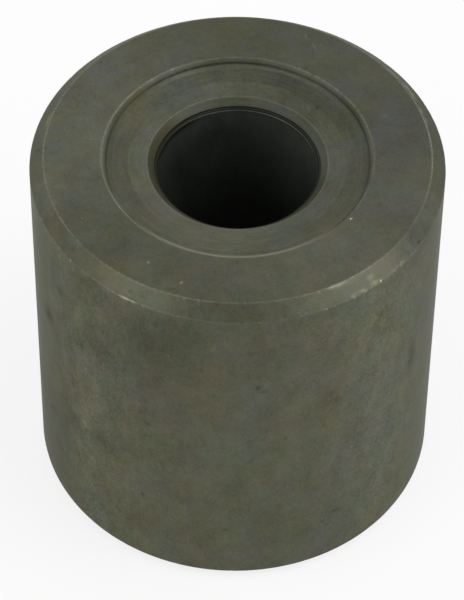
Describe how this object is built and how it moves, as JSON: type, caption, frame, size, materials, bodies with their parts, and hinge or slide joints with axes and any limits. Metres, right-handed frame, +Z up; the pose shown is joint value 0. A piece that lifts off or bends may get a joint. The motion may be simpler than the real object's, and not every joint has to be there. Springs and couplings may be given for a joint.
{
  "type": "bearing inner ring",
  "caption": "Thick-walled steel inner ring for a bearing: a long plain cylinder with a ground bore, chamfered rims and a shallow dished recess in its upper end face.",
  "frame": {"origin": "centre of the lower end face, on the axis of the bore", "axes": "+Z up along the axis of the bore, from the plain end face to the recessed one; X and Y are free by symmetry"},
  "size_m": [0.052, 0.052, 0.054],
  "materials": {
    "blackened_steel": "hardened bearing steel with a dark olive-grey satin oxide skin, turned and ground, worn bright along its edges"
  },
  "bodies": {
    "root": {"inner_ring": "blackened_steel"}
  },
  "joints": []
}
